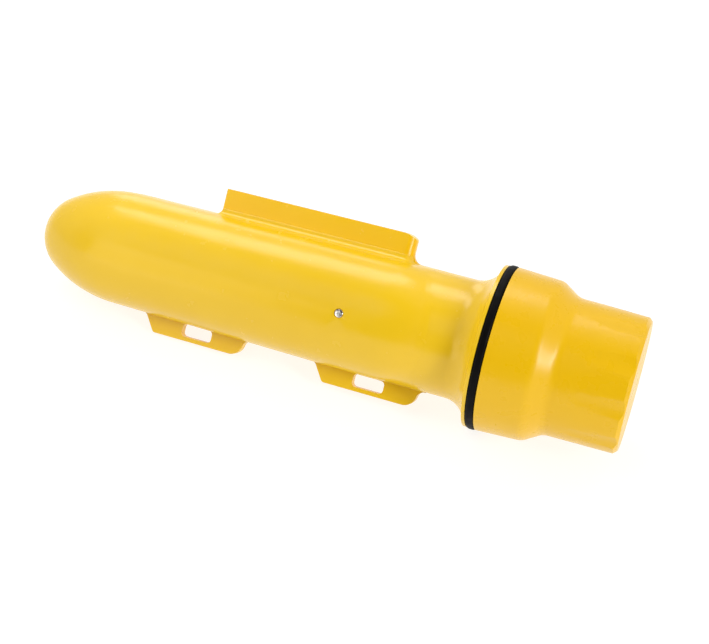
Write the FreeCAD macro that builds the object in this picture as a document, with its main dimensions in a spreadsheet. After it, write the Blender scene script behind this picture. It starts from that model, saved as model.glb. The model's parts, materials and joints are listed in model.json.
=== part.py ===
"""Fishing net tracking buoy: a moulded float that is lashed to a net pole by two straps.

Every piece is drawn lengthwise: X runs from the nose tip to the cap, +Z to the pole rest and -Z to the
strap lugs. The last step lays the finished buoy on the floor as it comes to rest, on its seal ring, its
nose and the foot of one lug, with +Z up and the origin on the floor under the middle of its box.
"""

import FreeCAD, Part
import math
import os

import Sketcher
from FreeCAD import Placement, Rotation, Vector

# Driving sizes, in millimetres unless the note says otherwise.
SIZES = (
    ("NoseLength", 50.0, "nose tip to the full section of the pod"),
    ("NoseTip", 24.0, "radius of the very tip of the nose"),
    ("NoseRadius", 31.6, "half height of the pod where the nose ends"),
    ("PodLength", 203.0, "nose tip to the pod's rounded shoulder"),
    ("PodRadius", 33.0, "half height of the pod at its shoulder"),
    ("PodSwell", 5.0, "how much wider than high the pod is, on each side"),
    ("ShoulderLength", 32.0, "length of the shoulder, as far as it runs into the neck"),
    ("ShoulderRadius", 73.0, "radius of the shoulder's curve"),
    ("NeckRadius", 32.9, "outside of the neck"),
    ("FlareStart", 245.0, "nose tip to where the neck begins to open out"),
    ("FlareRadius", 14.0, "hollow curve from the neck to the flange"),
    ("FlangeFace", 260.6, "nose tip to the face that the seal lies on"),
    ("FlangeSetback", 0.3, "how far the flange stays inside the cap's skirt"),
    ("SpigotRadius", 37.8, "core of the threaded spigot"),
    ("SpigotLength", 22.0, "flange face to the mouth"),
    ("MouthChamfer", 1.2, "chamfer round the mouth"),
    ("CellDiameter", 18.6, "one battery cell"),
    ("CellWrap", 0.8, "sleeve round the bundle"),
    ("PackLength", 67.0, "length of the battery pack"),
    ("PackDepth", 10.0, "mouth to the end of the battery pack"),
    ("PackClearance", 0.3, "battery pack to the bay round it and behind it"),
    ("SealWidth", 4.8, "width of the seal ring between its faces"),
    ("SealProud", 0.3, "how far the seal ring stands out past the cap's skirt"),
    ("SealBevel", 1.0, "bevel of the ring's outer edges"),
    ("SealClearance", 0.1, "ring to the flange and to the cap"),
    ("ThreadDepth", 1.8, "room for the thread between spigot and skirt"),
    ("SkirtWall", 5.3, "wall of the cap's skirt at its rim"),
    ("SkirtDraft", 1.0, "how much the skirt narrows towards the shoulder"),
    ("SkirtLength", 22.0, "rim to the start of the cap's shoulder"),
    ("CapShoulder", 15.5, "length of the S curve from skirt to grip"),
    ("CapBend", 9.0, "radius of both bends of the S curve"),
    ("GripStep", 6.5, "how much smaller than the skirt's end the grip is"),
    ("GripDraft", 0.4, "how much the grip narrows towards its end"),
    ("CapLength", 74.4, "rim to the end of the cap"),
    ("CapWall", 3.6, "wall of the grip and of its end"),
    ("CapEdge", 2.0, "bevel round the end of the cap"),
    ("FluteCount", 10.0, "finger flutes round the grip, a number"),
    ("FluteRadius", 24.0, "radius of a flute"),
    ("FluteDepth", 1.3, "depth of a flute at the end of the cap"),
    ("FluteLength", 30.0, "where a flute runs out, from the end of the cap"),
    ("RestStart", 98.5, "nose tip to the pole rest"),
    ("RestLength", 110.5, "length of the pole rest"),
    ("RestHeight", 14.7, "how far the pole rest stands off the pod"),
    ("RestWidth", 11.0, "thickness of the pole rest"),
    ("RestFall", 2.7, "how far its top curves down beside the neck"),
    ("RestFallLength", 8.0, "length of that curve"),
    ("RestCorner", 5.0, "rounding of its upright edges beside the neck"),
    ("RestRoot", 5.0, "hollow curve at its root beside the neck"),
    ("RootWidth", 3.0, "thickness of that root"),
    ("RootSink", 3.0, "how deep rest and lugs reach into the pod before they are trimmed to it"),
    ("LugHeight", 9.8, "how far a strap lug stands off the pod"),
    ("LugWidth", 5.5, "thickness of a strap lug"),
    ("LugFirst", 100.0, "nose tip to the middle of the first slot"),
    ("LugSpacing", 102.0, "middle of one slot to the middle of the next"),
    ("LugHalfLength", 32.0, "middle of the slot to the lug's root"),
    ("LugSlant", 6.5, "how far the nose side of a lug slants"),
    ("LugCorner", 2.0, "rounding of the slanted side's outer corner"),
    ("LugHollow", 3.0, "hollow curve at the root of the slanted side"),
    ("LugRound", 7.0, "rounding of the cap side of a lug"),
    ("LugRoot", 4.5, "hollow curve at the root of the cap side"),
    ("SlotLength", 17.8, "strap slot along the buoy"),
    ("SlotHeight", 7.0, "strap slot across"),
    ("SlotSill", 0.4, "pod to the strap slot"),
    ("SlotCorner", 2.2, "corners of the strap slot"),
    ("ContactPlace", 185.0, "nose tip to the water contact"),
    ("ContactAngle", 2.0, "how far round towards the lugs it sits, degrees"),
    ("ContactHead", 2.2, "radius of the contact's head"),
    ("ContactHeadHeight", 1.0, "height of its head"),
    ("ContactShank", 1.5, "radius of its shank"),
    ("ContactShankLength", 6.0, "length of its shank"),
    ("ContactSink", 0.8, "depth of the recess round its head"),
    ("ContactRecess", 0.4, "room round its head"),
    ("ContactFit", 0.05, "shank to its hole, and shank's end to the hole's end"),
)


class Size:
    """A length that knows both its value and the expression that a feature is bound to."""

    def __init__(self, value, text):
        self.value = value
        self.text = text

    @staticmethod
    def of(thing):
        return thing if isinstance(thing, Size) else Size(float(thing), repr(float(thing)))

    def joined(self, other, sign, value):
        return Size(value, f"({self.text} {sign} {Size.of(other).text})")

    def __add__(self, other):
        return self.joined(other, "+", self.value + Size.of(other).value)

    def __sub__(self, other):
        return self.joined(other, "-", self.value - Size.of(other).value)

    def __mul__(self, other):
        return self.joined(other, "*", self.value * Size.of(other).value)

    def __truediv__(self, other):
        return self.joined(other, "/", self.value / Size.of(other).value)

    def __neg__(self):
        return Size(-self.value, f"(-1 * {self.text})")

    def root(self):
        return Size(math.sqrt(self.value), f"sqrt({self.text})")


doc = FreeCAD.newDocument("TrackingBuoy")
sheet = doc.addObject("Spreadsheet::Sheet", "Sizes")
for row, (alias, number, note) in enumerate(SIZES, start=1):
    sheet.set(f"A{row}", alias)
    sheet.set(f"B{row}", str(number))
    sheet.setAlias(f"B{row}", alias)
    sheet.set(f"C{row}", note)
doc.recompute()
size = {alias: Size(float(sheet.get(alias)), f"Sizes.{alias}") for alias, _, _ in SIZES}

TO_CAP = Rotation(Vector(0, 1, 0), 90)


def bind(thing, **sizes):
    """Binds each named property of a feature to its size."""
    for name, value in sizes.items():
        thing.setExpression(name, Size.of(value).text)


def along(thing, place):
    """Binds a feature's place along the buoy."""
    thing.setExpression("Placement.Base.x", Size.of(place).text)


def origin_plane(body, role):
    return next(plane for plane in body.Origin.OriginFeatures if plane.Role == role)


def outline(sketch, corners, arcs):
    """Draws a closed outline through corners, each (along, across), bound to its sizes.

    arcs gives the centre of each side that is an arc, by the side's number. Where an arc ends, its
    radius already settles one coordinate, so only the other is bound there.
    """
    points = [Vector(Size.of(x).value, Size.of(y).value, 0) for x, y in corners]
    count = len(points)
    ends = []
    for k, start in enumerate(points):
        end = points[(k + 1) % count]
        side = Part.LineSegment(start, end)
        as_drawn = True
        if k in arcs:
            centre = Vector(arcs[k][0].value, arcs[k][1].value, 0)
            out = (start - centre, end - centre)
            as_drawn = out[0].cross(out[1]).z > 0
            turns = [math.atan2(way.y, way.x) for way in (out if as_drawn else out[::-1])]
            circle = Part.Circle(centre, Vector(0, 0, 1), out[0].Length)
            side = Part.ArcOfCircle(circle, *turns)
        sketch.addGeometry(side, False)
        ends.append((1, 2) if as_drawn else (2, 1))
    rules = []
    bound = []
    for k, corner in enumerate(corners):
        before = (k - 1) % count
        rules.append(Sketcher.Constraint("Coincident", before, ends[before][1], k, ends[k][0]))
        bound.append(None)
        places = dict(zip(("DistanceX", "DistanceY"), map(Size.of, corner)))
        if before in arcs:
            reach = points[k] - Vector(arcs[before][0].value, arcs[before][1].value, 0)
            del places["DistanceX" if abs(reach.x) > abs(reach.y) else "DistanceY"]
        for kind, given in places.items():
            rules.append(Sketcher.Constraint(kind, -1, 1, k, ends[k][0], given.value))
            bound.append(given)
    for k, centre in arcs.items():
        for kind, given in zip(("DistanceX", "DistanceY"), centre):
            rules.append(Sketcher.Constraint(kind, -1, 1, k, 3, given.value))
            bound.append(given)
    sketch.addConstraint(rules)
    for number, given in enumerate(bound):
        if given is not None:
            sketch.setExpression(f"Constraints[{number}]", given.text)


def profile_body(name, corners, arcs):
    """A Body with one sketch in its lengthwise plane, where X is along the buoy and Y is up."""
    body = doc.addObject("PartDesign::Body", name)
    sketch = body.newObject("Sketcher::SketchObject", name + "Profile")
    sketch.AttachmentSupport = [(origin_plane(body, "XZ_Plane"), "")]
    sketch.MapMode = "FlatFace"
    outline(sketch, corners, arcs)
    doc.recompute()
    return body, sketch


def turned(name, corners, arcs, angle=360.0, back=False):
    """A Body turned about the buoy's axis from its half profile, the other way round if back is set."""
    body, sketch = profile_body(name, corners, arcs)
    feature = body.newObject("PartDesign::Revolution", name + "Turned")
    feature.Profile = sketch
    feature.ReferenceAxis = (sketch, ["H_Axis"])
    feature.Angle = angle
    feature.Reversed = back
    doc.recompute()
    return body


def slab(name, corners, arcs, width):
    """A Body cut from a slab that stands across the buoy's middle plane."""
    body, sketch = profile_body(name, corners, arcs)
    feature = body.newObject("PartDesign::Pad", name + "Slab")
    feature.Profile = sketch
    feature.Midplane = True
    bind(feature, Length=width)
    doc.recompute()
    return body


def fused(name, pieces):
    feature = doc.addObject("Part::MultiFuse", name)
    feature.Shapes = pieces
    feature.Refine = True
    doc.recompute()
    return feature


def cut(name, base, tool):
    feature = doc.addObject("Part::Cut", name)
    feature.Base = base
    feature.Tool = tool
    doc.recompute()
    return feature


def skirt_radius():
    """Outside of the cap's skirt at its rim, which the flange and the seal ring follow."""
    return size["SpigotRadius"] + size["ThreadDepth"] + size["SkirtWall"]


def pod_radius(place):
    """Half height of the pod at a place on its tapered middle."""
    taper = (size["PodRadius"] - size["NoseRadius"]) / (size["PodLength"] - size["NoseLength"])
    return size["NoseRadius"] + taper * (place - size["NoseLength"])


def nose_bend():
    """Radius of the long curve of the nose, tangent to its tip and to the pod."""
    length = size["NoseLength"] - size["NoseTip"]
    high = size["NoseRadius"]
    tip = size["NoseTip"]
    return (length * length + high * high - tip * tip) / ((high - tip) * 2)


def pod_form():
    """The pod: two half-turned halves set apart by its swell, with a slab of the same profile between."""
    tip = size["NoseTip"]
    bend = nose_bend()
    share = tip / (bend - tip)
    rho = size["ShoulderRadius"]
    length = size["ShoulderLength"]
    end = size["PodLength"] + length
    centre = size["PodRadius"] - rho
    corners = [
        (0, 0),
        (tip - share * (size["NoseLength"] - tip), share * (bend - size["NoseRadius"])),
        (size["NoseLength"], size["NoseRadius"]),
        (size["PodLength"], size["PodRadius"]),
        (end, centre + (rho * rho - length * length).root()),
        (end, 0),
    ]
    arcs = {0: (tip, Size.of(0)), 1: (size["NoseLength"], size["NoseRadius"] - bend), 3: (size["PodLength"], centre)}
    near = turned("PodNear", corners, arcs, 180.0)
    far = turned("PodFar", corners, arcs, 180.0, back=True)
    near.setExpression("Placement.Base.y", (-size["PodSwell"]).text)
    far.setExpression("Placement.Base.y", size["PodSwell"].text)
    upper = slab("PodUpper", corners, arcs, size["PodSwell"] * 2)
    lower = doc.addObject("Part::Mirroring", "PodLower")
    lower.Source = upper
    lower.Normal = Vector(0, 0, 1)
    doc.recompute()
    return fused("Pod", [near, far, upper, lower])


def neck_form():
    """The neck, its flange and the spigot that the cap screws on, turned in one."""
    flange = skirt_radius() - size["FlangeSetback"]
    rise = size["FlareRadius"] + size["NeckRadius"] - flange
    flare_end = size["FlareStart"] + (size["FlareRadius"] * size["FlareRadius"] - rise * rise).root()
    mouth = size["FlangeFace"] + size["SpigotLength"]
    corners = [
        (size["PodLength"], 0),
        (size["PodLength"], size["NeckRadius"]),
        (size["FlareStart"], size["NeckRadius"]),
        (flare_end, flange),
        (size["FlangeFace"], flange),
        (size["FlangeFace"], size["SpigotRadius"]),
        (mouth - size["MouthChamfer"], size["SpigotRadius"]),
        (mouth, size["SpigotRadius"] - size["MouthChamfer"]),
        (mouth, 0),
    ]
    return turned("NeckForm", corners, {2: (size["FlareStart"], size["NeckRadius"] + size["FlareRadius"])})


def battery_bay():
    """The bay for the battery pack, open at the mouth; it is drawn a little past the mouth to cut cleanly."""
    overrun = 1
    deep = size["PackDepth"] + size["PackLength"] + size["PackClearance"]
    feature = doc.addObject("Part::Cylinder", "BatteryBay")
    feature.Placement = Placement(Vector(), TO_CAP)
    bind(feature, Radius=pack_reach() + size["PackClearance"], Height=deep + overrun)
    along(feature, size["FlangeFace"] + size["SpigotLength"] - deep)
    return feature


def pack_reach():
    """Middle of the seven-cell bundle to its outermost point."""
    return size["CellDiameter"] * 1.5 + size["CellWrap"]


def contact_place(lift):
    """The water contact's frame: its axis leaves the side of the pod, a little towards the lugs."""
    turn = math.radians(size["ContactAngle"].value)
    out = Vector(0, -math.cos(turn), -math.sin(turn))
    spot = Vector(size["ContactPlace"].value, -size["PodSwell"].value, 0)
    spot += out * (pod_radius(size["ContactPlace"]).value + lift)
    return Placement(spot, Rotation(Vector(0, 0, 1), out))


def contact_hole():
    """The hole for the contact's shank and the shallow recess round its head, drawn past the pod's side."""
    overrun = 3
    bottom = size["ContactSink"] + size["ContactShankLength"] + size["ContactFit"]
    hole = doc.addObject("Part::Cylinder", "ContactHole")
    bind(hole, Radius=size["ContactShank"] + size["ContactFit"], Height=bottom)
    hole.Placement = contact_place(-bottom.value)
    recess = doc.addObject("Part::Cylinder", "ContactSeat")
    bind(recess, Radius=size["ContactHead"] + size["ContactRecess"], Height=size["ContactSink"] + overrun)
    recess.Placement = contact_place(-size["ContactSink"].value)
    return [hole, recess]


def housing(form):
    """The moulded housing: pod, neck, flange and spigot, with the battery bay open at the mouth."""
    return cut("Housing", form, fused("HousingHollows", [battery_bay()] + contact_hole()))


def battery_pack():
    """Seven cells in one sleeve: a six-sided bundle whose corners follow the cells."""
    corner = size["CellDiameter"] / 2 + size["CellWrap"]
    bundle = doc.addObject("Part::Prism", "Bundle")
    bundle.Polygon = 6
    bundle.Placement = Placement(Vector(), TO_CAP)
    bind(bundle, Circumradius=size["CellDiameter"] + corner * (2 / math.sqrt(3)), Height=size["PackLength"])
    along(bundle, size["FlangeFace"] + size["SpigotLength"] - size["PackDepth"] - size["PackLength"])
    doc.recompute()
    feature = doc.addObject("Part::Fillet", "BatteryPack")
    feature.Base = bundle
    uprights = [
        number
        for number, edge in enumerate(bundle.Shape.Edges, start=1)
        if abs(edge.BoundBox.XLength - size["PackLength"].value) < 1e-6
    ]
    feature.Edges = [(number, corner.value, corner.value) for number in uprights]
    doc.recompute()
    return feature


def seal_ring():
    """The black ring that shows between the flange and the cap; it clears the thread, as the cap's bore does."""
    near = size["FlangeFace"] + size["SealClearance"]
    far = near + size["SealWidth"]
    inner = size["SpigotRadius"] + size["ThreadDepth"]
    outer = skirt_radius() + size["SealProud"]
    low = outer - size["SealBevel"]
    corners = [
        (near, inner),
        (near, low),
        (near + size["SealBevel"], outer),
        (far - size["SealBevel"], outer),
        (far, low),
        (far, inner),
    ]
    return turned("SealRing", corners, {})


def screw_cap():
    """The battery cover: a wide skirt, an S curve and a grip with finger flutes, hollow throughout."""
    rim = size["FlangeFace"] + size["SealClearance"] * 2 + size["SealWidth"]
    skirt_end = rim + size["SkirtLength"]
    grip_start = skirt_end + size["CapShoulder"]
    end = rim + size["CapLength"]
    wide = skirt_radius() - size["SkirtDraft"]
    grip = wide - size["GripStep"]
    grip_end = grip - size["GripDraft"]
    bend = size["CapBend"]
    # The straight part of the S touches both bends: its normal has length one, and the bends' centres lie
    # two radii apart across it.
    run = size["CapShoulder"]
    rise = bend * 2 - size["GripStep"]
    apart = run * run + rise * rise
    rest = (apart - bend * bend * 4).root()
    across = (bend * 2 * run - rest * rise) / apart
    up = (bend * 2 * rise + rest * run) / apart
    bore = size["SpigotRadius"] + size["ThreadDepth"]
    hollow = grip - size["CapWall"]
    corners = [
        (rim, bore),
        (rim, skirt_radius()),
        (skirt_end, wide),
        (skirt_end + bend * across, wide - bend + bend * up),
        (grip_start - bend * across, grip + bend - bend * up),
        (grip_start, grip),
        (end - size["CapEdge"], grip_end),
        (end, grip_end - size["CapEdge"]),
        (end, 0),
        (end - size["CapWall"], 0),
        (end - size["CapWall"], hollow),
        (skirt_end + size["CapShoulder"] / 2, hollow),
        (skirt_end, bore),
    ]
    body = turned("CapForm", corners, {2: (skirt_end, wide - bend), 4: (grip_start, grip + bend)})
    return cut("ScrewCap", body, fused("Flutes", flutes(end, grip_end)))


def flutes(end, grip_end):
    """Shallow grooves round the grip, deepest at the end of the cap and running out before the shoulder."""
    count = int(size["FluteCount"].value)
    overrun = 2
    rise = size["FluteDepth"].value + size["GripDraft"].value
    slope = math.degrees(math.atan2(rise, size["FluteLength"].value))
    reach = grip_end.value + size["FluteRadius"].value - size["FluteDepth"].value
    tools = []
    for k in range(count):
        tool = doc.addObject("Part::Cylinder", f"Flute{k}")
        bind(tool, Radius=size["FluteRadius"], Height=size["FluteLength"] + overrun)
        round_cap = Rotation(Vector(1, 0, 0), 360.0 * k / count)
        tilt = Rotation(Vector(0, 1, 0), -90 + slope)
        start = Vector(end.value + overrun, 0, reach - overrun * math.tan(math.radians(slope)))
        tool.Placement = Placement(Vector(), round_cap).multiply(Placement(start, tilt))
        tools.append(tool)
    return tools


def pole_rest(form):
    """The block that the pole lies on, seated on the top of the pod, with a thinner root beside the neck."""
    start = size["RestStart"]
    end = start + size["RestLength"]
    deep = size["NoseRadius"] - size["RootSink"]
    top = pod_radius(end) + size["RestHeight"]
    fall = size["RestFall"]
    run = size["RestFallLength"]
    corners = [
        (start, deep),
        (start, pod_radius(start) + size["RestHeight"]),
        (end - run, top),
        (end, top - fall),
        (end, deep),
    ]
    arcs = {2: (end - run, top - (run * run + fall * fall) / (fall * 2))}
    block = slab("RestBlock", corners, arcs, size["RestWidth"])
    pad = block.Tip
    uprights = [
        f"Edge{number}"
        for number, edge in enumerate(pad.Shape.Edges, start=1)
        if edge.BoundBox.XLength + edge.BoundBox.YLength < 1e-6 and edge.BoundBox.XMin > start.value + 1
    ]
    rounded = block.newObject("PartDesign::Fillet", "RestUprights")
    rounded.Base = (pad, uprights)
    bind(rounded, Radius=size["RestCorner"])
    doc.recompute()
    root = size["RestRoot"]
    foot = size["NeckRadius"]
    corners = [
        (end - root, deep),
        (end - root, foot + root),
        (end, foot + root),
        (end + root, foot),
        (end + root, deep),
    ]
    web = slab("RestRootForm", corners, {2: (end + root, foot + root)}, size["RootWidth"])
    return cut("PoleRest", fused("RestForm", [block, web]), form)


def strap_lug(number, form):
    """A lug with a slot for one strap, seated under the pod."""
    centre = size["LugFirst"] + size["LugSpacing"] * number
    high = size["LugHeight"]
    ground = -pod_radius(centre)
    tip = ground - high
    deep = -(size["NoseRadius"] - size["RootSink"])
    left = centre - size["LugHalfLength"]
    right = centre + size["LugHalfLength"]
    # The slanted side meets the pod in a hollow and the foot in a corner, both tangent.
    slant = size["LugSlant"]
    slope = (slant * slant + high * high).root()
    turn = (slope - slant) / high
    hollow = size["LugHollow"] * turn
    corner = size["LugCorner"] * turn
    # On the cap side a round and a hollow meet in an S.
    both = size["LugRound"] + size["LugRoot"]
    drop = both - high
    reach = (both * both - drop * drop).root()
    round_at = right - reach
    share = size["LugRound"] / both
    corners = [
        (left - hollow, deep),
        (left - hollow, ground),
        (left + slant / slope * hollow, ground - high / slope * hollow),
        (left + slant - slant / slope * corner, tip + high / slope * corner),
        (left + slant + corner, tip),
        (round_at, tip),
        (round_at + reach * share, tip + size["LugRound"] - drop * share),
        (right, ground),
        (right, deep),
    ]
    arcs = {
        1: (left - hollow, ground - size["LugHollow"]),
        3: (left + slant + corner, tip + size["LugCorner"]),
        5: (round_at, tip + size["LugRound"]),
        6: (right, ground - size["LugRoot"]),
    }
    name = f"Lug{number}"
    body = slab(name + "Form", corners, arcs, size["LugWidth"])
    return cut(name, body, fused(name + "Tools", [form, strap_slot(name + "Slot", centre, ground)]))


def strap_slot(name, centre, ground):
    """The slot's tool: a rounded oblong through the lug, drawn wider than the lug to cut cleanly."""
    bend = size["SlotCorner"]
    left = centre - size["SlotLength"] / 2
    right = centre + size["SlotLength"] / 2
    top = ground - size["SlotSill"]
    foot = top - size["SlotHeight"]
    corners = [
        (left, top - bend),
        (left, foot + bend),
        (left + bend, foot),
        (right - bend, foot),
        (right, foot + bend),
        (right, top - bend),
        (right - bend, top),
        (left + bend, top),
    ]
    arcs = {
        1: (left + bend, foot + bend),
        3: (right - bend, foot + bend),
        5: (right - bend, top - bend),
        7: (left + bend, top - bend),
    }
    return slab(name, corners, arcs, size["LugWidth"] * 2)


def water_contact():
    """A metal screw whose head wakes the buoy when water bridges it."""
    head = doc.addObject("Part::Cylinder", "ContactTop")
    bind(head, Radius=size["ContactHead"], Height=size["ContactHeadHeight"])
    head.Placement = contact_place(-size["ContactSink"].value)
    shank = doc.addObject("Part::Cylinder", "ContactStem")
    bind(shank, Radius=size["ContactShank"], Height=size["ContactShankLength"])
    shank.Placement = contact_place(-size["ContactSink"].value - size["ContactShankLength"].value)
    return fused("WaterContact", [head, shank])


def resting():
    """How the buoy lies on a floor: on its seal ring, the side of its nose and the foot of one lug."""
    value = {name: given.value for name, given in size.items()}
    ring = value["FlangeFace"] + value["SealClearance"] + value["SealWidth"] / 2
    ring_radius = skirt_radius().value + value["SealProud"]
    nose = value["NoseLength"]
    bend = nose_bend().value
    foot = value["LugFirst"] - value["LugHalfLength"] + value["LugSlant"]
    lug = pod_radius(size["LugFirst"]).value + value["LugHeight"]
    half = value["LugWidth"] / 2
    pitch = 0.0
    roll = 0.0
    steps = 60
    for _ in range(steps):
        side = value["NoseRadius"] - bend + value["PodSwell"] * math.sin(roll)
        under_nose = side * math.cos(pitch) + bend
        pitch = math.asin((ring_radius * math.cos(pitch) - under_nose) / (ring - nose))
        height = ring_radius - (ring - foot) * math.tan(pitch)
        roll = math.atan2(half, lug) + math.acos(height / math.hypot(half, lug))
    lean = Rotation(Vector(1, 0, 0), -math.degrees(roll))
    nod = Rotation(Vector(0, 1, 0), -math.degrees(pitch))
    return Placement(Vector(), nod.multiply(lean))


def main():
    outer = fused("HousingForm", [pod_form(), neck_form()])
    parts = {
        "housing": housing(outer),
        "pole_rest": pole_rest(outer),
        "strap_lug_nose": strap_lug(0, outer),
        "strap_lug_cap": strap_lug(1, outer),
        "seal_ring": seal_ring(),
        "screw_cap": screw_cap(),
        "battery_pack": battery_pack(),
        "water_contact": water_contact(),
    }
    doc.recompute()
    for thing in doc.Objects:
        if "Invalid" in thing.State or "Error" in thing.State:
            raise RuntimeError(f"{thing.Name} failed: {thing.State}")

    rest = resting()
    whole = Part.makeCompound([part.Shape.copy() for part in parts.values()])
    whole.Placement = rest
    box = whole.optimalBoundingBox(False)
    rest.Base = Vector(-(box.XMin + box.XMax) / 2, -(box.YMin + box.YMax) / 2, -box.ZMin)
    os.makedirs("parts", exist_ok=True)
    for node, part in parts.items():
        part.Label = node
        part.Placement = rest
        shape = part.Shape
        if shape.isNull() or not shape.isValid() or len(shape.Solids) != 1:
            raise RuntimeError(f"{node} has no single valid solid")
        shape.exportStep(os.path.join("parts", node + ".step"))


main()
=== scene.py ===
"""Looks of the net tracking buoy: yellow mouldings, a black seal, threads, a contact screw and studio light.

Lengths are in millimetres in the buoy's own frame: x runs from the nose tip to the cap, z points to the pole
rest and y away from the water contact. place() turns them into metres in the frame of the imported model.
"""

import json
import math

import bmesh
import bpy
from mathutils import Matrix, Vector


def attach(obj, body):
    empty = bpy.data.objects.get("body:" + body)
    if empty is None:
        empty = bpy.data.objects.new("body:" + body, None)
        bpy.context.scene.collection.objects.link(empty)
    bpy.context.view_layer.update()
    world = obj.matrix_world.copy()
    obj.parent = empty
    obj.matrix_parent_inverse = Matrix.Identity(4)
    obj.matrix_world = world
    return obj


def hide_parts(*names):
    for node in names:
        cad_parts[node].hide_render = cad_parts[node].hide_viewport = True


MM = 0.001

# Sizes repeated or worked out from the part's source, in millimetres. The contact's angle is in radians.
NOSE_LENGTH = 50.0
NOSE_RADIUS = 31.6
POD_LENGTH = 203.0
POD_RADIUS = 33.0
POD_SWELL = 5.0
SHOULDER_RADIUS = 73.0
NECK_RADIUS = 32.9
CAP_RIM = 265.6
MOUTH = 282.6
SPIGOT_RADIUS = 37.8
BORE_RADIUS = 39.6
THREAD_PITCH = 6.0
REST_START = 98.5
REST_END = 209.0
REST_WIDTH = 11.0
REST_CORNER = 5.0
LUG_WIDTH = 5.5
LUG_CENTRES = (100.0, 202.0)
LUG_HALF_LENGTH = 32.0
CONTACT_PLACE = 185.0
CONTACT_ANGLE = math.radians(2.0)
CONTACT_HEAD = 2.2
CONTACT_SINK = 0.8

# Threads, in millimetres: the radii of their crests, and where they begin and end along the buoy.
SPIGOT_CREST = 39.2
CAP_CREST = 38.2
THREAD_START = CAP_RIM + 0.6
SPIGOT_THREAD_END = MOUTH - 0.8
CAP_THREAD_END = MOUTH + 2.0

# Radii of the hollow curves where the pole rest and the strap lugs grow out of the pod, in millimetres.
REST_ROOT = 3.6
LUG_ROOT = 0.35

# Camera, fitted to the photograph, in degrees, metres and millimetres of lens. Lights look at AIM, and the
# camera looks to its right and above it by CAMERA_TARGET.
CAMERA_AZIMUTH = 14.694
CAMERA_ELEVATION = 39.5
CAMERA_ROLL = 8.125
CAMERA_DISTANCE = 0.8148
CAMERA_LENS = 75.74
CAMERA_TARGET = (0.0118, -0.0134)
AIM = Vector((0, 0, 0.045))

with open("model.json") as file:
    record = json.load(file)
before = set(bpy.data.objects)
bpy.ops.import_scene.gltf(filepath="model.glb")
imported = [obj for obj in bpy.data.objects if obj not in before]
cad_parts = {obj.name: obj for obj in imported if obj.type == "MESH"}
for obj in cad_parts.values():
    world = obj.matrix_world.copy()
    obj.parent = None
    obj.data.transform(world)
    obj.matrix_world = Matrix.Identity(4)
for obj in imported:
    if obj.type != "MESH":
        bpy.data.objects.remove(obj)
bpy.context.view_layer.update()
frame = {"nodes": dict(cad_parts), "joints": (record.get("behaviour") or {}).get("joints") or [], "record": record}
record = frame["record"]


def buoy_matrix():
    """The buoy's own frame as a matrix, from the cap's joint and the pole rest's mount."""
    turn = next(joint for joint in frame["joints"] if joint["name"] == "cap_turn")
    rest = next(mount for mount in record["mounts"] if mount["name"] == "pole_rest_face")
    x = Vector(turn["axis"]).normalized()
    y = Vector(rest["axis"]).cross(x).normalized()
    z = x.cross(y)
    origin = Vector(turn["pos_m"]) - x * CAP_RIM * MM
    return Matrix.Translation(origin) @ Matrix((x, y, z)).transposed().to_4x4()


BUOY = buoy_matrix()


def place(x, y, z):
    """A point of the buoy's frame, in millimetres, as metres in the frame of the model."""
    return BUOY @ (Vector((x, y, z)) * MM)


# Materials


class Nodes:
    """A material's node tree, built by adding and linking nodes."""

    def __init__(self, name):
        self.material = bpy.data.materials.new(name)
        self.material.use_nodes = True
        self.tree = self.material.node_tree
        self.shader = self.tree.nodes["Principled BSDF"]
        self.where = self.add("ShaderNodeTexCoord").outputs["Object"]

    def add(self, kind, **settings):
        node = self.tree.nodes.new(kind)
        for name, value in settings.items():
            if name in node.inputs:
                node.inputs[name].default_value = value
            else:
                setattr(node, name, value)
        return node

    def link(self, out, into):
        self.tree.links.new(out, into)

    def noise(self, scale, detail=2.0, stretch=(1, 1, 1)):
        """Noise with features about 1/scale metres across."""
        mapping = self.add("ShaderNodeMapping")
        mapping.inputs["Scale"].default_value = stretch
        self.link(self.where, mapping.inputs["Vector"])
        noise = self.add("ShaderNodeTexNoise", Scale=scale, Detail=detail)
        self.link(mapping.outputs["Vector"], noise.inputs["Vector"])
        return noise.outputs["Fac"]

    def ranged(self, noise, low, high):
        """Noise, most of which lies between 0.3 and 0.7, spread over low to high."""
        node = self.add("ShaderNodeMapRange")
        for name, number in (("From Min", 0.3), ("From Max", 0.7), ("To Min", low), ("To Max", high)):
            node.inputs[name].default_value = number
        self.link(noise, node.inputs["Value"])
        return node.outputs["Result"]

    def mixed(self, share, first, second):
        """Two colours mixed by a share."""
        node = self.add("ShaderNodeMix", data_type="RGBA")
        self.link(share, node.inputs["Factor"])
        for name, colour in (("A", first), ("B", second)):
            socket = next(s for s in node.inputs if s.name == name and s.type == "RGBA")
            socket.default_value = (*colour, 1.0)
        return next(s for s in node.outputs if s.type == "RGBA")

    def bumped(self, height, distance, strength, before=None):
        """A bump on top of an earlier one. distance is in metres."""
        node = self.add("ShaderNodeBump", Distance=distance, Strength=strength)
        self.link(height, node.inputs["Height"])
        if before is not None:
            self.link(before, node.inputs["Normal"])
        return node.outputs["Normal"]


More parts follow.
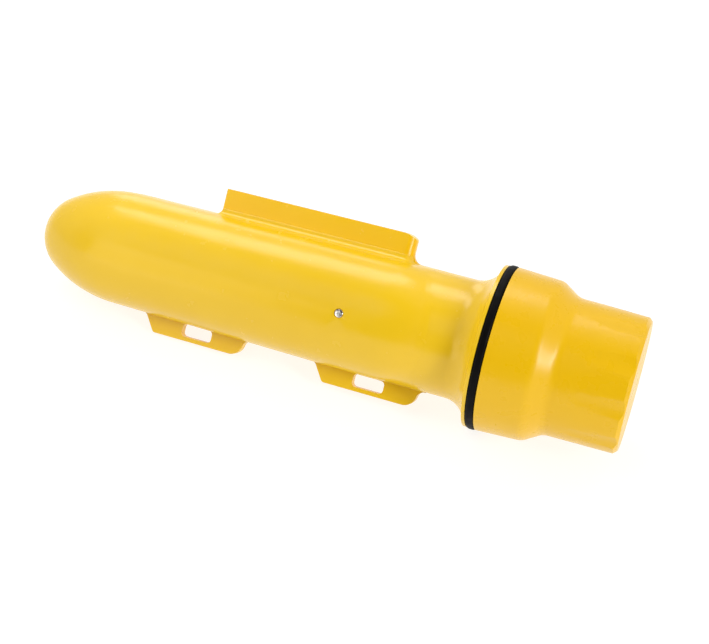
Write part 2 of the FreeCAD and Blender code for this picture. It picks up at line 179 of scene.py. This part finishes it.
def moulded_plastic(name, deep, pale, gloss, specular):
    """Glossy moulded plastic: a slight drift from a deep to a pale tone, uneven gloss, faint orange peel."""
    made = Nodes(name)
    drift = made.ranged(made.noise(14.0, 3.0), 0.0, 1.0)
    made.link(made.mixed(drift, deep, pale), made.shader.inputs["Base Color"])
    haze = made.ranged(made.noise(120.0, 4.0), gloss[0], gloss[1])
    made.link(haze, made.shader.inputs["Roughness"])
    peel = made.bumped(made.noise(420.0, 2.0), 0.0002, 0.05)
    grain = made.bumped(made.noise(2600.0, 3.0), 0.00004, 0.12, peel)
    made.link(grain, made.shader.inputs["Normal"])
    made.shader.inputs["Specular IOR Level"].default_value = specular
    made.shader.inputs["IOR"].default_value = 1.5
    return made.material


def rubber(name):
    """Black moulded rubber with a dusty bloom and fine grain."""
    made = Nodes(name)
    bloom = made.ranged(made.noise(160.0, 4.0), 0.0, 1.0)
    tone = made.mixed(bloom, (0.0012, 0.001, 0.0008), (0.003, 0.0026, 0.0022))
    made.link(tone, made.shader.inputs["Base Color"])
    made.link(made.ranged(made.noise(300.0, 3.0), 0.5, 0.68), made.shader.inputs["Roughness"])
    made.shader.inputs["Specular IOR Level"].default_value = 0.1
    made.link(made.bumped(made.noise(2200.0, 3.0), 0.00005, 0.25), made.shader.inputs["Normal"])
    return made.material


def steel(name):
    """Bright turned stainless steel with fine scratches."""
    made = Nodes(name)
    tone = made.ranged(made.noise(500.0, 3.0), 0.0, 1.0)
    made.link(made.mixed(tone, (0.88, 0.85, 0.79), (0.96, 0.94, 0.9)), made.shader.inputs["Base Color"])
    made.link(made.ranged(made.noise(900.0, 4.0, (1, 6, 1)), 0.22, 0.34), made.shader.inputs["Roughness"])
    made.link(made.bumped(made.noise(3000.0, 2.0, (1, 6, 1)), 0.00003, 0.3), made.shader.inputs["Normal"])
    made.shader.inputs["Metallic"].default_value = 1.0
    return made.material


def shrink_sleeve(name):
    """Blue shrink sleeve: satin film with soft wrinkles across the bundle."""
    made = Nodes(name)
    tone = made.ranged(made.noise(60.0, 3.0), 0.0, 1.0)
    made.link(made.mixed(tone, (0.012, 0.05, 0.23), (0.02, 0.08, 0.32)), made.shader.inputs["Base Color"])
    made.link(made.ranged(made.noise(200.0, 3.0), 0.28, 0.42), made.shader.inputs["Roughness"])
    made.link(made.bumped(made.noise(110.0, 3.0, (3, 1, 1)), 0.0006, 0.35), made.shader.inputs["Normal"])
    return made.material


MATERIALS = {
    "shell": moulded_plastic("BodyPlastic", (0.86, 0.535, 0.006), (0.9, 0.575, 0.014), (0.2, 0.28), 0.5),
    # The pole rest's copy of the body yellow is lighter and more saturated: painted light for the extra light on
    # its upward side.
    "rest": moulded_plastic("RestPlasticPaintedLight", (0.94, 0.56, 0.003), (0.97, 0.6, 0.008), (0.2, 0.28), 0.45),
    "cap": moulded_plastic("CapPlastic", (0.84, 0.486, 0.002), (0.88, 0.521, 0.004), (0.25, 0.33), 0.38),
    "seal": rubber("SealRubber"),
    "battery": shrink_sleeve("BatterySleeve"),
    "contact": steel("ContactSteel"),
}


# Pieces


def grid_mesh(name, rows, slot, body, closed=False):
    """A smooth piece that rides on a body, from rows of equally many points in the buoy's frame.

    Where it is closed, each row's last point is joined to its first.
    """
    mesh = bmesh.new()
    made = [[mesh.verts.new(place(*point)) for point in row] for row in rows]
    count = len(made[0])
    for first, second in zip(made, made[1:]):
        for k in range(count if closed else count - 1):
            mesh.faces.new((first[k], first[(k + 1) % count], second[(k + 1) % count], second[k]))
    bmesh.ops.recalc_face_normals(mesh, faces=mesh.faces)
    data = bpy.data.meshes.new(name)
    for face in mesh.faces:
        face.smooth = True
    mesh.to_mesh(data)
    mesh.free()
    data.materials.append(MATERIALS[slot])
    piece = bpy.data.objects.new(name, data)
    bpy.context.scene.collection.objects.link(piece)
    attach(piece, body)
    return piece


def thread(name, core, crest, start, end, lead, body, slot):
    """A trapezoidal thread ridge from start to end, with a run-in and a run-out.

    core and crest are radii, and lead is the share of a turn by which the ridge is turned. The ridge winds
    left-handed, while the cap's joint moves as a right-handed screw.
    """
    half_root, half_crest = 1.25, 0.5
    run_in = 1 / 3
    least = 0.03
    steps_a_turn = 72
    turns = (end - start - 2 * half_root) / THREAD_PITCH
    steps = int(turns * steps_a_turn)
    sink = 0.15 if crest > core else -0.15
    rows = []
    for step in range(steps + 1):
        turn = step / steps_a_turn
        fade = max(0.0, min(1.0, turn / run_in, (turns - turn) / run_in))
        angle = 2 * math.pi * (turn + lead)
        x = start + half_root + turn * THREAD_PITCH
        top = core + (crest - core) * (least + (1 - least) * fade)
        section = (
            (x - half_root, core - sink),
            (x - half_root, core),
            (x - half_crest, top),
            (x + half_crest, top),
            (x + half_root, core),
            (x + half_root, core - sink),
        )
        rows.append([(along, away * math.sin(angle), away * math.cos(angle)) for along, away in section])
    return grid_mesh(name, rows, slot, body, closed=True)


def pod_half_height(x):
    """Half height of the pod at x, on its taper or its shoulder."""
    if x <= POD_LENGTH:
        share = (x - NOSE_LENGTH) / (POD_LENGTH - NOSE_LENGTH)
        return NOSE_RADIUS + (POD_RADIUS - NOSE_RADIUS) * share
    return POD_RADIUS - SHOULDER_RADIUS + math.sqrt(SHOULDER_RADIUS**2 - (x - POD_LENGTH) ** 2)


def surface_height(x, y):
    """Height of the shell over the buoy's middle plane at x, y: the pod's or, past its end, the neck's."""
    aside = max(0.0, abs(y) - POD_SWELL)
    pod = math.sqrt(pod_half_height(x) ** 2 - aside**2)
    neck = math.sqrt(NECK_RADIUS**2 - y**2) if x > POD_LENGTH else 0.0
    return max(pod, neck)


def root_bead(name, outline, radius, side):
    """The small hollow curve where a rib grows out of the pod, along an outline of (x, y, out x, out y).

    side is 1 where the pole rest is and -1 where the strap lugs are.
    """
    steps = 8
    sink = 0.1
    rows = []
    for x, y, out_x, out_y in outline:
        row = []
        for step in range(steps + 1):
            angle = math.pi / 2 * step / steps
            off = radius * (1 - math.sin(angle))
            lift = radius * (1 - math.cos(angle))
            at = (x + out_x * off, y + out_y * off)
            row.append((*at, side * (surface_height(*at) + lift)))
        first, last = row[0], row[-1]
        row.insert(0, (first[0], first[1], first[2] - side * sink))
        row.append((last[0] - out_x * sink, last[1] - out_y * sink, last[2]))
        rows.append(row)
    return grid_mesh(name, rows, "shell", "housing")


def rest_outline():
    """The pole rest's outline on the pod: near side, rounded end, far side and square end, a closed loop."""
    half = REST_WIDTH / 2
    round_start = REST_END - REST_CORNER
    steps_along, steps_round = 24, 8
    places = [REST_START + (round_start - REST_START) * k / steps_along for k in range(steps_along)]
    points = [(x, -half, 0.0, -1.0) for x in places]
    for way in (-1, 1):
        for step in range(steps_round + 1):
            angle = math.pi / 2 * (step if way < 0 else steps_round - step) / steps_round
            out_x, out_y = math.sin(angle), way * math.cos(angle)
            x = round_start + REST_CORNER * out_x
            y = way * (half - REST_CORNER) + REST_CORNER * out_y
            points.append((x, y, out_x, out_y))
    points += [(x, half, 0.0, 1.0) for x in reversed(places)]
    for way in (1, -1):
        for step in range(1, steps_round + 1):
            angle = math.pi / 2 * (step if way > 0 else steps_round - step) / steps_round
            points.append((REST_START, way * half, -math.sin(angle), way * math.cos(angle)))
    return points


def shoulder_reach(x, angle):
    """Distance from the buoy's axis to the pod's shoulder at x, at an angle round from the pole rest."""
    half = pod_half_height(x)
    across, up = abs(math.sin(angle)), abs(math.cos(angle))
    if half * across <= POD_SWELL * up:
        return half / up
    return POD_SWELL * across + math.sqrt(half**2 - (POD_SWELL * up) ** 2)


def shoulder_crease(angle):
    """Where along the buoy the pod's shoulder meets the neck, found by halving."""
    search, halvings = 31.0, 40
    low, high = POD_LENGTH, POD_LENGTH + search
    for _ in range(halvings):
        middle = (low + high) / 2
        if shoulder_reach(middle, angle) > NECK_RADIUS:
            low = middle
        else:
            high = middle
    return (low + high) / 2


def pod_reach(x, angle):
    """Distance from the buoy's axis to the pod at x, on its taper, its shoulder or the shoulder's far end."""
    taper, shoulder_length = 0.009, 40.0
    if x < POD_LENGTH:
        return shoulder_reach(POD_LENGTH, angle) - (POD_LENGTH - x) * taper
    return shoulder_reach(min(x, POD_LENGTH + shoulder_length), angle)


def shoulder_blend():
    """The soft hollow where the pod's shoulder runs into the neck, a strip whose edges lie in the shell."""
    reach = 4.0
    aside = 0.5
    sunk, proud = -0.03, 0.004
    steps_round, steps_along = 144, 16
    rows = []
    for k in range(steps_round + 1):
        angle = 2 * math.pi * k / steps_round
        crease = shoulder_crease(angle)
        fall = shoulder_reach(crease - aside, angle) - shoulder_reach(crease + aside, angle)
        width = reach * fall / (2 * aside)
        row = []
        for step in range(steps_along + 1):
            share = 2.0 * step / steps_along - 1.0
            x = crease + share * reach
            pod = pod_reach(x, angle)
            gap = max(0.0, 1.0 - abs(pod - NECK_RADIUS) / width)
            window = (1 - share**2) ** 2
            edge = sunk if abs(share) == 1 else proud
            radius = max(pod, NECK_RADIUS) + gap**2 * width / 4 * window + edge
            row.append((x, radius * math.sin(angle), radius * math.cos(angle)))
        rows.append(row)
    return grid_mesh("shoulder_blend", rows, "shell", "housing")


def cross_recess(u, v):
    """How much of its depth the cross recess has at u, v from the screw's axis, from 0 to 1."""
    arm, half_width = 1.35, 0.3
    end_slope, wall_slope = 0.2, 0.12
    near, far = sorted((abs(u), abs(v)))
    walls = min(1.0, max(0.0, (half_width - near) / wall_slope + 0.5))
    ends = min(1.0, max(0.0, (arm - far) / end_slope + 0.5))
    return walls * ends


def contact_screw():
    """The water contact as a screw with a low domed head and a cross recess. It stands for its CAD node."""
    out = Vector((0, -math.cos(CONTACT_ANGLE), -math.sin(CONTACT_ANGLE)))
    along = Vector((1, 0, 0))
    across = out.cross(along)
    seat = Vector((CONTACT_PLACE, -POD_SWELL, 0)) + out * (pod_half_height(CONTACT_PLACE) - CONTACT_SINK)
    crown, dome, recess = 0.95, 0.3, 0.5
    rim, edge, underside = 0.35, 0.15, 0.02
    shank, shank_end = 1.2, -5.9
    rings, spokes = 12, 64
    pinhole = 0.02

    def ring_of(radius, rise, depth=0.0):
        """A ring of points at a rise over the seat, with the cross recess cut to a depth."""
        points = []
        for spoke in range(spokes):
            angle = 2 * math.pi * spoke / spokes
            u, v = radius * math.cos(angle), radius * math.sin(angle)
            points.append(seat + along * u + across * v + out * (rise - depth * cross_recess(u, v)))
        return points

    rows = []
    for ring in range(rings + 1):
        radius = CONTACT_HEAD * (ring + pinhole) / (rings + pinhole)
        rows.append(ring_of(radius, crown - dome * (radius / CONTACT_HEAD) ** 3, recess))
    rows += [
        ring_of(CONTACT_HEAD, rim),
        ring_of(CONTACT_HEAD - edge, underside),
        ring_of(shank, underside),
        ring_of(shank, shank_end),
    ]
    screw = grid_mesh("contact_screw", rows, "contact", "housing", closed=True)
    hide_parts("water_contact")


def lug_outlines(centre):
    """Both long sides of a strap lug on the pod's belly, as outlines for its root beads."""
    start, end = centre - LUG_HALF_LENGTH, centre + LUG_HALF_LENGTH
    steps = 24
    places = [start + (end - start) * k / steps for k in range(steps + 1)]
    return [[(x, way * LUG_WIDTH / 2, 0.0, float(way)) for x in places] for way in (-1, 1)]


def dress_nodes():
    """Gives each CAD node its material (for the pole rest, a lighter copy of the body yellow as painted light),
    smooth shading and the fine rounding of a moulded edge.
    """
    slots = {part["node"]: part["material_slot"] for part in record["subparts"]}
    for name, node in frame["nodes"].items():
        node.data.materials.clear()
        # The pole rest takes that lighter copy in place of its slot's body yellow: painted light, not a different
        # plastic.
        node.data.materials.append(MATERIALS["rest" if name == "pole_rest" else slots[name]])
        for face in node.data.polygons:
            face.use_smooth = True
        weld = node.modifiers.new("Weld", "WELD")
        weld.merge_threshold = 2e-6
        bevel = node.modifiers.new("EdgeRounding", "BEVEL")
        bevel.width = 0.0005
        bevel.segments = 2
        bevel.limit_method = "ANGLE"
        bevel.angle_limit = math.radians(35)
        bevel.harden_normals = False
        normals = node.modifiers.new("Normals", "WEIGHTED_NORMAL")
        normals.keep_sharp = False


dress_nodes()
thread("spigot_thread", SPIGOT_RADIUS, SPIGOT_CREST, THREAD_START, SPIGOT_THREAD_END, 0.0, "housing", "shell")
thread("cap_thread", BORE_RADIUS, CAP_CREST, THREAD_START, CAP_THREAD_END, 0.5, "cap", "cap")
root_bead("rest_root", rest_outline(), REST_ROOT, 1)
shoulder_blend()
contact_screw()
for number, centre in enumerate(LUG_CENTRES):
    for way, outline in zip(("near", "far"), lug_outlines(centre)):
        root_bead(f"lug_root_{number}_{way}", outline, LUG_ROOT, -1)


# Studio


def studio_floor():
    """A plain pale floor: a studio's light table, lit from below."""
    half = 3.0
    data = bpy.data.meshes.new("studio_floor")
    corners = [(-half, -half, 0), (half, -half, 0), (half, half, 0), (-half, half, 0)]
    data.from_pydata(corners, [], [(0, 1, 2, 3)])
    made = Nodes("StudioFloor")
    tone = made.mixed(made.noise(2.0, 1.0), (0.25, 0.25, 0.25), (0.27, 0.27, 0.27))
    made.link(tone, made.shader.inputs["Base Color"])
    made.shader.inputs["Roughness"].default_value = 0.9
    made.shader.inputs["Specular IOR Level"].default_value = 0.1
    made.shader.inputs["Emission Color"].default_value = (1.0, 1.0, 1.0, 1.0)
    made.shader.inputs["Emission Strength"].default_value = 0.82
    data.materials.append(made.material)
    floor = bpy.data.objects.new("studio_floor", data)
    bpy.context.scene.collection.objects.link(floor)


def softbox(name, azimuth, elevation, distance, width, height, power, scattered=True, mirrored=True):
    """A soft light aimed at the buoy, with azimuth and elevation as for the camera.

    Lengths are in metres and power in watts. A light that isn't scattered shows only in the gloss, and one
    that isn't mirrored doesn't show in it.
    """
    back = aimed(azimuth, elevation)
    data = bpy.data.lights.new(name, "AREA")
    data.shape = "RECTANGLE"
    data.size, data.size_y, data.energy = width, height, power
    light = bpy.data.objects.new(name, data)
    light.location = back * distance + AIM
    light.rotation_mode = "QUATERNION"
    light.rotation_quaternion = back.to_track_quat("Z", "Y")
    light.visible_camera = False
    light.visible_diffuse = scattered
    light.visible_glossy = mirrored
    bpy.context.scene.collection.objects.link(light)


def aimed(azimuth, elevation):
    """The direction from the buoy to a light or camera."""
    a, e = math.radians(azimuth), math.radians(elevation)
    return Vector((math.sin(a) * math.cos(e), -math.cos(a) * math.cos(e), math.sin(e)))


def studio_world(strength, dim, azimuth, elevation):
    """White walls all round, with a dimmer place in one direction, where the photographer stands."""
    outer, inner = math.radians(60), math.radians(34)
    world = bpy.data.worlds.new("Studio")
    world.use_nodes = True
    nodes, links = world.node_tree.nodes, world.node_tree.links
    background = nodes["Background"]
    background.inputs["Color"].default_value = (1.0, 1.0, 1.0, 1.0)
    sight = nodes.new("ShaderNodeVectorMath")
    sight.operation = "DOT_PRODUCT"
    sight.inputs[1].default_value = aimed(azimuth, elevation)
    links.new(nodes.new("ShaderNodeTexCoord").outputs["Generated"], sight.inputs[0])
    falloff = nodes.new("ShaderNodeMapRange")
    falloff.interpolation_type = "SMOOTHSTEP"
    for name, number in (
        ("From Min", math.cos(outer)),
        ("From Max", math.cos(inner)),
        ("To Min", strength),
        ("To Max", dim),
    ):
        falloff.inputs[name].default_value = number
    links.new(sight.outputs["Value"], falloff.inputs["Value"])
    links.new(falloff.outputs["Result"], background.inputs["Strength"])
    bpy.context.scene.world = world


def studio_camera():
    """The camera at the photograph's angle."""
    a, r = math.radians(CAMERA_AZIMUTH), math.radians(CAMERA_ROLL)
    back = aimed(CAMERA_AZIMUTH, CAMERA_ELEVATION)
    right = Vector((math.cos(a), math.sin(a), 0))
    up = back.cross(right)
    tilted_right = right * math.cos(r) + up * math.sin(r)
    tilted_up = up * math.cos(r) - right * math.sin(r)
    target = AIM + tilted_right * CAMERA_TARGET[0] + tilted_up * CAMERA_TARGET[1]
    data = bpy.data.cameras.new("Camera")
    data.sensor_width = 36.0
    data.lens = CAMERA_LENS
    data.clip_start = 0.01
    camera = bpy.data.objects.new("Camera", data)
    turned = Matrix((tilted_right, tilted_up, back)).transposed().to_4x4()
    camera.matrix_world = Matrix.Translation(target + back * CAMERA_DISTANCE) @ turned
    bpy.context.scene.collection.objects.link(camera)
    bpy.context.scene.camera = camera


studio_floor()
studio_world(strength=0.64, dim=0.03, azimuth=CAMERA_AZIMUTH - 24, elevation=44)
# Each light's azimuth, elevation, distance, width, height and power.
softbox("KeyBehind", CAMERA_AZIMUTH + 194, 57, 1.0, 0.7, 0.38, 3.0)
softbox("LowBehind", CAMERA_AZIMUTH + 189, 15, 1.5, 0.6, 0.55, 1.7)
softbox("FrontFill", CAMERA_AZIMUTH - 50, 54, 0.8, 0.6, 0.5, 1.5, mirrored=False)
softbox("LeftFill", CAMERA_AZIMUTH - 70, 42, 0.65, 0.6, 0.5, 1.05, mirrored=False)
softbox("LeftLow", CAMERA_AZIMUTH - 48, 14, 0.6, 0.32, 0.4, 0.55, scattered=False)
softbox("RightSide", CAMERA_AZIMUTH + 50, 28, 1.2, 0.18, 0.55, 5.8)
studio_camera()
bpy.context.scene.view_settings.view_transform = "Standard"
